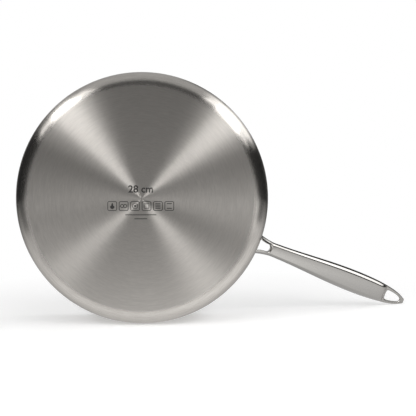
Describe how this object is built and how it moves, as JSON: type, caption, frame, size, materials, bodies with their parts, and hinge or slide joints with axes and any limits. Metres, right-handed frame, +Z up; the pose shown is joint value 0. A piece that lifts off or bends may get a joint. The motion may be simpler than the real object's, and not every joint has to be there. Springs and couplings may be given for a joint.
{
  "type": "saute pan",
  "caption": "Straight-sided clad stainless saute pan with a rounded base corner and a forked cast handle ending in a hanging loop.",
  "frame": {"origin": "centre of the base's underside", "axes": "+Z up along the pan's axis, +X along the handle"},
  "size_m": [0.4998, 0.28, 0.1235],
  "materials": {
    "outer_steel": "concentrically brushed",
    "core_aluminium": "cut edge, matt",
    "inner_steel": "concentrically brushed",
    "handle_steel": "satin",
    "rivet_steel": "polished"
  },
  "bodies": {
    "root": {"outer_shell": "outer_steel", "aluminium_core": "core_aluminium", "inner_liner": "inner_steel", "handle": "handle_steel", "rivet_left": "rivet_steel", "rivet_right": "rivet_steel"}
  },
  "joints": []
}
